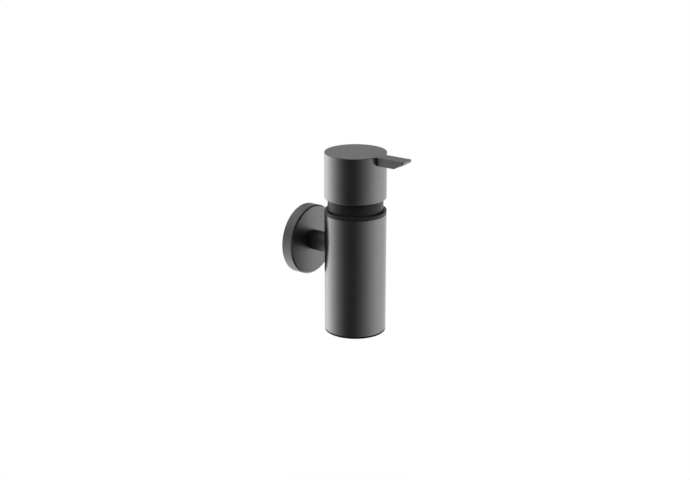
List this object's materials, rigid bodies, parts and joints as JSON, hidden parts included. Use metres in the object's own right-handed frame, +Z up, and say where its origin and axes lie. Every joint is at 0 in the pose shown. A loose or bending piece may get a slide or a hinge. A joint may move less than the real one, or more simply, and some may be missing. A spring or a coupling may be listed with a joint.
{
  "type": "wall mounted soap dispenser",
  "caption": "Wall mounted pump soap dispenser: round rosette, short arm, dark brushed steel sleeve, lift-out soap container and a pressing pump head with a wedge-tipped spout",
  "frame": {"origin": "centre of the wall plate's rear face, on the wall plane and on the arm's axis", "axes": "+Z up, +Y into the wall, so the dispenser stands out along -Y and the spout points along -Y; +X to the right seen from the front"},
  "size_m": [0.064, 0.1123, 0.1646],
  "materials": {
    "brushed_steel": "satin",
    "zinc_casting": "satin",
    "screw_steel": "satin",
    "spring_steel": "satin",
    "ball_steel": "polished",
    "black_plastic": "satin",
    "seal_rubber": "matte",
    "natural_plastic": "satin",
    "piston_plastic": "satin",
    "clear_tube": "satin"
  },
  "bodies": {
    "wall_mount": {"wall_plate": "zinc_casting", "rosette_cover": "brushed_steel", "grub_screw": "screw_steel", "support_arm": "brushed_steel", "mounting_stud": "screw_steel", "lock_washer": "screw_steel", "stud_nut": "screw_steel", "outer_sleeve": "brushed_steel", "sleeve_base": "black_plastic"},
    "soap_container": {"container": "black_plastic"},
    "pump_unit": {"pump_lid": "black_plastic", "lid_seal": "seal_rubber", "housing_gasket": "seal_rubber", "pump_housing": "natural_plastic", "housing_retainer": "natural_plastic", "dip_tube": "clear_tube", "ball_cage": "natural_plastic", "pump_spring": "spring_steel"},
    "stem_unit": {"pump_stem": "natural_plastic", "pump_piston": "piston_plastic"},
    "head": {"head_insert": "natural_plastic", "head_shell": "brushed_steel", "spout": "brushed_steel", "spout_liner": "clear_tube"},
    "inlet_valve": {"inlet_ball": "ball_steel"},
    "outlet_valve": {"outlet_ball": "ball_steel"}
  },
  "joints": [
    {"name": "container_lift", "type": "slide", "parent": "wall_mount", "child": "soap_container", "axis": [0, 0, 1], "range_m": [0, 0.106]},
    {"name": "pump_lift", "type": "slide", "parent": "soap_container", "child": "pump_unit", "axis": [0, 0, 1], "range_m": [0, 0.104]},
    {"name": "stem_stroke", "type": "slide", "parent": "pump_unit", "child": "stem_unit", "axis": [0, 0, -1], "range_m": [0, 0.01], "stiffness_N_per_m": 500, "springref_m": -0.016, "deforming": ["pump_spring"]},
    {"name": "head_swivel", "type": "hinge", "parent": "stem_unit", "child": "head", "pos_m": [0, -0.058, 0.0734], "axis": [0, 0, 1], "continuous": true},
    {"name": "inlet_ball_lift", "type": "slide", "parent": "pump_unit", "child": "inlet_valve", "axis": [0, 0, 1], "range_m": [0, 0.0013]},
    {"name": "outlet_ball_lift", "type": "slide", "parent": "stem_unit", "child": "outlet_valve", "axis": [0, 0, 1], "range_m": [0, 0.0015]}
  ]
}
